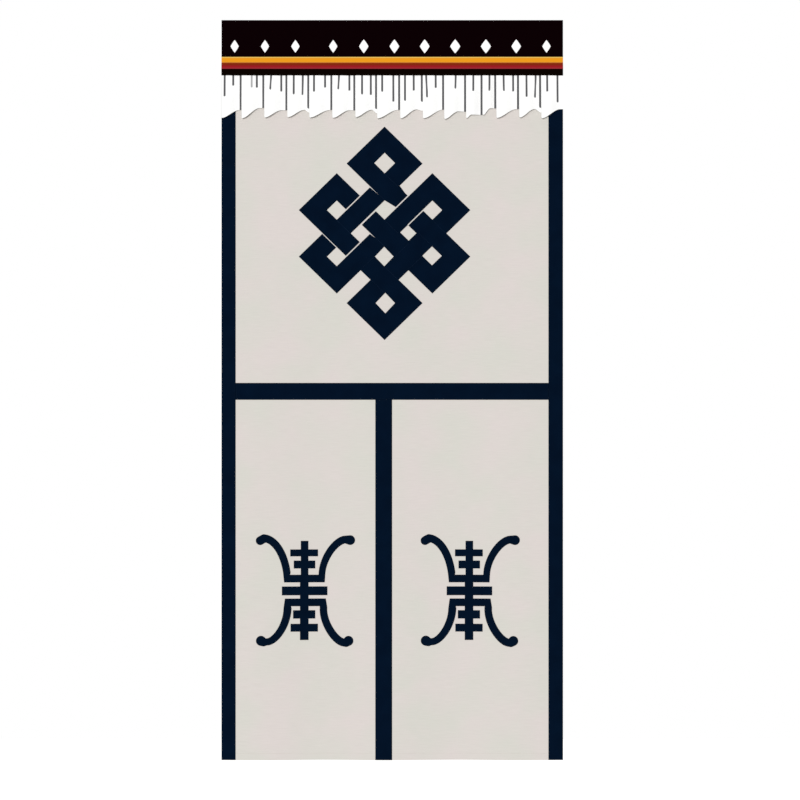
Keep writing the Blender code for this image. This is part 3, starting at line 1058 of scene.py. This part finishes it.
heading = {
    "riseTop": -112.3,
    "riseBottom": -128.6,
    "rise": 5.4,
    "bottom": -146.2,
    "seam": 3.0,  # its stitches, in from the edge
    "goldTop": -97.0,
    "ribbonGap": 0.3,  # between the two ribbons
    "goldSeams": (-98.0, -110.2),
    "redBottom": -129.0,
    "redSeams": (-114.4, -126.6),
    "ribbonDrop": 0.45,  # how far a ribbon's edges curve down
}


def headingBack(x, z):
    share = np.clip((heading["riseTop"] - z) / (heading["riseTop"] - heading["riseBottom"]), 0, 1)
    return trimBack - heading["rise"] * share


def headingFront(x, z):
    return headingBack(x, z) - curtain["headingThick"]


def ribbonBack(x, z):
    return headingFront(x, z) - curtain["gap"]


def ribbonFront(x, z):
    return ribbonBack(x, z) - curtain["trimThick"]


riseEnds = halfWidth + 10
riseLines = [((-riseEnds, heading[row]), (riseEnds, heading[row])) for row in ("riseTop", "riseBottom")]
headingPiece, headingLoops = cutCloth(
    "heading_cloth",
    [rectangle(-halfWidth, halfWidth, heading["bottom"], 0.0)],
    headingBack,
    headingFront,
    cell=10.0,
    lines=riseLines,
)
hang(headingPiece, black)
headingRuns = seamRuns(headingLoops, heading["seam"])
headingStitches = sew("heading_stitches", headingRuns, headingFront, blackThread)


def sewRibbon(name, bottom, top, material):
    shape = rectangle(-halfWidth, halfWidth, bottom, top)
    drop = heading["ribbonDrop"]
    piece, _ = cutCloth(name, [shape], ribbonBack, ribbonFront, cell=10.0, drop=drop)
    return hang(piece, material)


def levelRuns(heights):
    end = halfWidth - heading["seam"]
    return [[(-end, z), (end, z)] for z in heights]


goldPiece = sewRibbon("gold_ribbon", heading["riseTop"] + heading["ribbonGap"], heading["goldTop"], gold)
redPiece = sewRibbon("red_ribbon", heading["redBottom"], heading["riseTop"], red)
goldStitches = sew("gold_stitches", levelRuns(heading["goldSeams"]), ribbonFront, goldThread)
redStitches = sew("red_stitches", levelRuns(heading["redSeams"]), ribbonFront, redThread)

diamonds = {"z": -69.2, "roundness": 1.1, "steps": 32, "crown": 0.5, "seam": 1.8}
diamondSizes = [  # place, half width, half height
    (-415.2, 10.9, 16.8),
    (-335.4, 10.9, 16.8),
    (-255.2, 11.1, 16.9),
    (-155.6, 11.1, 16.9),
    (-75.0, 12.4, 18.3),
    (5.7, 12.7, 18.4),
    (85.5, 12.9, 18.4),
    (165.9, 13.4, 18.5),
    (246.8, 13.4, 18.5),
    (326.7, 12.7, 18.3),
    (406.5, 11.1, 16.8),
]
diamondPieces, diamondRuns = [], []
for number, (place, wide, tall) in enumerate(diamondSizes, start=1):
    power = 2 / diamonds["roundness"]
    outline = []
    for i in range(diamonds["steps"]):
        turn = 2 * math.pi * i / diamonds["steps"]
        across, up = (math.copysign(abs(c) ** power, c) for c in (math.cos(turn), math.sin(turn)))
        outline.append((place + wide * across, diamonds["z"] + tall * up))

    def crownedFront(x, z, place=place, wide=wide, tall=tall):
        out = np.clip(np.abs(x - place) / wide + np.abs(z - diamonds["z"]) / tall, 0, 1)
        return ribbonFront(x, z) - diamonds["crown"] * (1 - out ** 2)

    piece, loops = cutCloth(f"white_diamond_{number:02d}", [outline], ribbonBack, crownedFront, cell=3.0)
    diamondPieces.append(hang(piece, white))
    diamondRuns += seamRuns(loops, diamonds["seam"])
diamondStitches = sew("diamond_stitches", diamondRuns, ribbonFront, whiteThread)
print("heading dressed")


# Frill: knife pleats, pressed in three layers at the seam and fanned open at the hem

frill = {
    "top": -130.0,
    "seam": -146.0,
    "thick": 1.0,
    "tuck": 11.0,
    "lead": 2.5,
    "lineMiddle": 3.0,  # the dark line's middle, left of the fold's edge
    "corner": 3.0,  # how far the hem rounds up at the fold
    "frontLevel": (-6.1, -17.0),  # middle of each layer, at the seam and at the hem
    "middleLevel": (-4.7, -10.0),
    "backLevel": (-3.3, -4.5),
    "narrow": 30.0,  # a pleat of this width hardly opens, and one of twice this width opens fully
    "cover": 4.0,  # how far the layers behind a fold stay above its hem
    "nearer": 0.9984,  # folds stand nearer the camera than the panel, so a little less far out
    "edge": 2.9,  # from the middle of the dark line to the fold's edge
    "round": 0.8,  # how round a fold is, of a half circle
    "least": 0.2,  # how far the narrowest pleats open
    "pressed": 0.25,  # share of a short crease's depth that is left over the tucks
    "flatHeight": 131.0,
    "spacing": 1.6,  # between columns of the mesh
}
pleats = [  # fold, hem at the fold, at its crest, the crest's place, hem and dark line at the end
    (-449.5, -259, -237, 0.90, -236.5, -260),
    (-399.9, -260, -232, 0.80, -231.5, -260),
    (-340.1, -258, -238, 0.75, -237.5, -260),
    (-279.2, -257, -237, 0.78, -244.0, -234),
    (-221.5, -258, -237, 0.90, -236.5, -260),
    (-160.6, -259, -238, 0.75, -238.0, -260),
    (-100.0, -257, -237, 0.75, -246.0, -235),
    (-42.6, -260, -237, 0.90, -236.0, -260),
    (18.3, -260, -236, 0.72, -239.0, -216),
    (78.1, -260, -236, 0.95, -236.0, -260),
    (134.3, -262, -241, 0.65, -241.5, -260),
    (192.3, -260, -250, 0.30, -250.0, -260),
    (235.7, -252, -233, 0.55, -232.5, -260),
    (271.8, -259, -235, 0.88, -234.5, -260),
    (331.9, -258, -235, 0.70, -244.0, -232),
    (390.2, -260, -235, 0.88, -235.0, -260),
]
furrow = {  # the relief of a short crease, and of the soft ridge on either side of it
    "depth": 0.7,
    "width": 2.6,
    "narrowing": 1.2,
    "ridge": 0.6,
    "ridgeAway": 6,
    "ridgeWidth": 4,
    "ridgeStart": 8,
}
gathers = [  # short creases under the seam: place, length, lean at the lower end, strength
    (-441.3, 58, 0, 1.0),
    (-418.9, 29, 0, 1.0),
    (-370.2, 34, 0, 0.6),
    (-356.7, 34, 0, 1.0),
    (-319.2, 39, -1.8, 1.0),
    (-292.4, 44, 0, 1.0),
    (-259.4, 52, 0, 1.0),
    (-235.7, 53, -0.9, 1.0),
    (-206.0, 45, 0, 1.0),
    (-177.0, 34, 0, 1.0),
    (-140.4, 39, -1.6, 1.0),
    (-113.0, 42, 0, 1.0),
    (-79.5, 52, 0, 1.0),
    (-56.5, 53, 0, 1.0),
    (-26.5, 45, 0, 1.0),
    (2.8, 71, 0, 1.0),
    (33.6, 69, 0, 1.0),
    (56.5, 42, 0, 1.0),
    (89.4, 60, 2.2, 1.0),
    (114.4, 35, 0, 1.0),
    (167.1, 36, -1.2, 1.0),
    (213.5, 43, -0.6, 1.0),
    (256.0, 42, -0.6, 1.0),
    (293.3, 43, 0.6, 1.0),
    (318.4, 44, 0, 1.0),
    (353.5, 59, 0, 1.0),
    (377.8, 60, -1.8, 1.0),
    (408.0, 45, 0, 1.0),
    (435.2, 72, 0.4, 1.0),
]


def foldEdge(pleat):
    # where the fold's edge stands: just right of the middle of its dark line
    return pleat[0] if pleat is pleats[0] else pleat[0] * frill["nearer"] + frill["edge"]


def pleatHem(pleat, x, right):
    # low at the fold, up in an S to the crest, then to the height where the next pleat covers it
    _, low, high, crest, end, _ = pleat
    left = foldEdge(pleat)
    share = (x - left) / (right - left)
    if share > crest:
        return high + (end - high) * smooth((share - crest) / (1 - crest))
    corner = frill["corner"] * max(0.0, 1 - (x - left) / frill["corner"]) ** 2
    return low + (high - low) * smooth(share / crest) + corner


def frontColumns(left, stop):
    # evenly spread, with more at each short crease and beside the next fold
    wanted = [place + away for place, *_ in gathers for away in (-4.0, -2.2, 0.0, 2.2, 4.0)]
    wanted += [stop - 3.3, stop - 1.6, stop]
    wanted = [x for x in wanted if left < x <= stop]
    steps = int((stop - left) / frill["spacing"])
    for x in np.linspace(left, stop, steps + 1):
        if min(abs(x - other) for other in wanted) > 0.6 * frill["spacing"]:
            wanted.append(x)
    return sorted(wanted)


def frillSection(opened):
    # the section from left to right: x, y, hem height, how freely it creases, nearness to a fold's
    # painted shade line, and where that line ends; opened is 0 at the seam and 1 at the hem
    farthest, middle, back = (
        frill[name][0] + opened * (frill[name][1] - frill[name][0])
        for name in ("frontLevel", "middleLevel", "backLevel")
    )
    inward = frill["round"] * (back - middle) / 2
    rows = []
    tucked = pleats[0][1]
    for number, pleat in enumerate(pleats):
        left = foldEdge(pleat)
        last = number == len(pleats) - 1
        right = halfWidth if last else foldEdge(pleats[number + 1])
        # a narrow pleat opens less than a wide one
        proud = np.clip((right - left - frill["narrow"]) / frill["narrow"], frill["least"], 1.0)
        front = middle + (farthest - middle) * (1 - opened * (1 - proud))
        outer = frill["round"] * (middle - front) / 2
        for x in np.linspace(left + frill["tuck"] - inward, left + outer, 4):
            hem = pleatHem(pleat, x, right)
            if x > left + frill["corner"]:
                hem = max(tucked, hem + frill["cover"])
            rows.append((x, middle, hem, 0.0, 0.0, 0.0))
        for angle in np.radians((22, 45, 68, 90, 112, 135, 158)):
            y = (middle + front) / 2 + (middle - front) / 2 * math.cos(angle)
            x = left + outer - outer * math.sin(angle)
            rows.append((x, y, pleatHem(pleat, x, right), 0.0, 0.0, 0.0))
        rows.append((left + outer, front, pleatHem(pleat, left + outer, right), 0.2, 0.0, 0.0))
        start, stop = left + frill["tuck"] + frill["lead"], right - frill["lead"]
        for x in frontColumns(left + 3.5, stop):
            share = smooth((x - start) / (stop - start))
            y = front + (back - front) * share
            loose = smooth((x - left - frill["tuck"] + 2) / 8)
            free = frill["pressed"] + (1 - frill["pressed"]) * loose
            near = 0.0 if last else lineReach - max(0.0, right - frill["lineMiddle"] - x)
            rows.append((x, y, pleatHem(pleat, x, right), free, near, pleat[5]))
        if last:
            rows.append((right, back, pleat[4], 0.3, 0.0, 0.0))
            break
        following = pleats[number + 1]
        beyond = foldEdge(pleats[number + 2]) if number + 2 < len(pleats) else halfWidth

        def coveredHem(x):
            return max(pleat[4], pleatHem(following, max(x, right), beyond) + frill["cover"])

        for x in np.linspace(right - frill["lead"] / 2, right + frill["tuck"] - inward, 6):
            rows.append((x, back, pleat[4] if x < right else coveredHem(x), 0.0, lineReach, pleat[5]))
        for angle in np.radians((30, 60, 90, 120, 150)):
            y = (back + middle) / 2 + (back - middle) / 2 * math.cos(angle)
            x = right + frill["tuck"] - inward + inward * math.sin(angle)
            rows.append((x, y, coveredHem(x), 0.0, 0.0, 0.0))
        tucked = pleat[4]
    return np.array(rows)


def gatherRelief(x, drop, free):
    # furrow with a soft ridge each side, fading down its length, and how near its painted shade line is
    depth, near = np.zeros(len(x)), np.zeros(len(x))
    for place, length, lean, strength in gathers:
        down = np.clip(drop / length, 0, 1)
        away = x - place - lean * down
        fade = (1 - down ** 1.5) * strength
        width = furrow["width"] - furrow["narrowing"] * down
        depth += furrow["depth"] * free * fade * np.exp(-((away / width) ** 2))
        beside = np.exp(-(((np.abs(away) - furrow["ridgeAway"]) / furrow["ridgeWidth"]) ** 2))
        depth -= furrow["ridge"] * free * fade * smooth(drop / furrow["ridgeStart"]) * beside
        gap = np.hypot(away, np.maximum(0, drop - length + foldLine["outer"]))
        faint = lineReach - foldLine["outer"] + strength * (foldLine["outer"] - foldLine["inner"])
        near = np.maximum(near, (free > 0) * np.minimum(lineReach - gap, faint))
    return depth, near


def makeFrill():
    rings, creases = [], []
    for z in (frill["top"], (frill["top"] + frill["seam"]) / 2):
        section = frillSection(0.0)
        rings.append(np.stack([section[:, 0], section[:, 1], np.full(len(section), z)], axis=1))
        creases.append(np.zeros(len(section)))
    # rows of the mesh from the seam to the hem, which close up at the hem
    shares = list(np.linspace(0, 0.95, 30)) + [0.965, 0.978, 0.99, 1.0]
    for share in shares:
        x, y, hem, free, near, lineEnd = frillSection(math.sin(share * math.pi / 2)).T
        z = frill["seam"] + share * (hem - frill["seam"])
        depth, crease = gatherRelief(x, frill["seam"] - z, free)
        past = np.maximum(0, lineEnd + foldLine["outer"] - z)
        near = np.where(near > 0, lineReach - np.hypot(lineReach - near, past), 0)
        rings.append(np.stack([x, y + depth, z], axis=1))
        creases.append(np.clip(np.maximum(near, crease), 0, lineReach))
    rings = np.array(rings)
    count, columns = rings.shape[:2]
    # the two faces lie half a thickness each side, and a strip closes them all round
    aside, down = np.gradient(rings, axis=1), np.gradient(rings, axis=0)
    normals = np.cross(down, aside)
    normals /= np.linalg.norm(normals, axis=2)[:, :, None]
    half = frill["thick"] / 2
    points = np.concatenate([(rings + side * normals).reshape(-1, 3) for side in (half, -half)])
    other = count * columns
    faces = []
    for ring in range(count - 1):
        for i in range(columns - 1):
            a = ring * columns + i
            quad = [a, a + columns, a + columns + 1, a + 1]
            faces += [quad, [v + other for v in quad[::-1]]]
    rim = list(range(columns))
    rim += [ring * columns + columns - 1 for ring in range(1, count)]
    rim += [(count - 1) * columns + i for i in range(columns - 2, -1, -1)]
    rim += [ring * columns for ring in range(count - 2, 0, -1)]
    faces += [[a, b, b + other, a + other] for a, b in zip(rim, rim[1:] + rim[:1])]
    piece = makePiece("white_frill", points, faces)
    # this attribute paints shade along the fold edges and the short creases
    attribute = piece.data.attributes.new("paintedShadeNear", "FLOAT", "POINT")
    attribute.data.foreach_set("value", np.tile(np.concatenate(creases), 2).astype(np.float32))
    flatWidth = np.hypot(*np.diff(frillSection(1.0)[:, :2], axis=0).T).sum()
    return hang(piece, white, 70), flatWidth


frillPiece, frillFlatWidth = makeFrill()
print("frill pleated,", round(frillFlatWidth), "mm of cloth")


# Each piece hangs from the root, and the solids it stands for are hidden

def register(piece, slotName, *nodes):
    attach(piece, "root")
    if nodes:
        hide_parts(*nodes)


register(canvasPanel, "canvas", "panel")
register(canvasHem, "canvas")
register(hemStitches, "canvas")
register(frontHemStitches, "canvas")
for name, piece in stripPieces.items():
    register(piece, "navy_cotton", name)
register(knotPiece, "navy_cotton", "knot")
for name, piece in longlifePieces.items():
    register(piece, "navy_cotton", name)
navyRows = [
    stripStitches, stripStitchesBack, knotStitches, knotHighlightStitches, knotStitchesBack,
    longlifeStitches, longlifeStitchesBack,
]
for piece in navyRows:
    register(piece, "navy_cotton")
register(headingPiece, "black_cotton", "heading")
register(headingStitches, "black_cotton")
register(goldPiece, "gold_ribbon", "ribbon_gold")
register(goldStitches, "gold_ribbon")
register(redPiece, "red_ribbon", "ribbon_red")
register(redStitches, "red_ribbon")
for number, piece in enumerate(diamondPieces, start=1):
    register(piece, "white_cotton", f"diamond_{number:02d}")
register(diamondStitches, "white_cotton")
register(frillPiece, "white_cotton", "frill")

stripSizes = {
    "strip_left": (strips["leftWidth"], curtain["length"] + strips["sideTop"]),
    "strip_right": (strips["rightWidth"], curtain["length"] + strips["sideTop"]),
    "strip_cross": (innerRight - innerLeft - 2 * strips["join"], strips["crossHeight"]),
    "strip_centre": (strips["centreWidth"], curtain["length"] + crossBottom - strips["join"]),
}
for name, (wide, tall) in stripSizes.items():
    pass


# the heading and the red ribbon lie over the rise, which takes up a little more cloth
riseHeight = heading["riseTop"] - heading["riseBottom"]
riseExtra = math.hypot(riseHeight, heading["rise"]) - riseHeight
for piece, tall, carrier in (
    (headingPiece, -heading["bottom"] + riseExtra, canvasPanel),
    (goldPiece, heading["goldTop"] - heading["riseTop"] - heading["ribbonGap"], headingPiece),
    (redPiece, heading["riseTop"] - heading["redBottom"] + riseExtra, headingPiece),
):
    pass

# Floor, light and camera

studio = {
    "floor": -2065.0,
    "floorColour": "#F4F4F2",
    "floorGlow": 0.5,
    "worldLight": 0.34,
    "softness": 14,
    "lens": 135,
    "cameraPlace": (20.4, -7909.0, -1001.2),
    # broad soft lamps: strength, degrees above the level, degrees round from the front
    "lamps": {"frontLamp": (2.36, 4, -7), "backLamp": (1.8, 20, 165)},
}


def makeFloor():
    corners = rectangle(-2600, 2600, -2400, 1500)
    floor = makePiece("floor", [(x, y, studio["floor"]) for x, y in corners], [[0, 1, 2, 3]])
    material, _, shader = startMaterial("Pale painted floor", Roughness=0.8)
    shader.inputs["Base Color"].default_value = colour(studio["floorColour"])
    shader.inputs["Emission Color"].default_value = (1, 1, 1, 1)
    shader.inputs["Emission Strength"].default_value = studio["floorGlow"]
    floor.data.materials.append(material)
    floor.visible_diffuse = False  # the sky lights the cloth from below as evenly as from above


def makeLight():
    world = bpy.data.worlds.new("studioSky")
    bpy.context.scene.world = world
    world.use_nodes = True
    tree = world.node_tree
    sky = tree.nodes["Background"]
    sky.inputs["Color"].default_value = (1, 1, 1, 1)
    # the white backdrop is bright to the eye, and lights the cloth a little less
    seen = addNode(tree, "ShaderNodeLightPath").outputs["Is Camera Ray"]
    bright = addNode(
        tree, "ShaderNodeMapRange", {"Value": seen, "To Min": studio["worldLight"], "To Max": 1.0}
    )
    tree.links.new(bright.outputs["Result"], sky.inputs["Strength"])
    for name, (strength, above, around) in studio["lamps"].items():
        lamp = bpy.data.lights.new(name, "SUN")
        lamp.energy = strength
        lamp.angle = math.radians(studio["softness"])
        sun = bpy.data.objects.new(name, lamp)
        sun.rotation_euler = (math.radians(90 - above), 0, math.radians(around))
        bpy.context.scene.collection.objects.link(sun)


def makeCamera():
    lens = bpy.data.cameras.new("camera")
    lens.lens = studio["lens"]
    lens.sensor_width = 36
    camera = bpy.data.objects.new("camera", lens)
    camera.location = [value * mm for value in studio["cameraPlace"]]
    camera.rotation_euler = (math.pi / 2, 0, 0)
    bpy.context.scene.collection.objects.link(camera)
    bpy.context.scene.camera = camera


makeFloor()
makeLight()
makeCamera()
bpy.context.scene.view_settings.view_transform = "Standard"
print("studio ready")

bpy.context.view_layer.update()
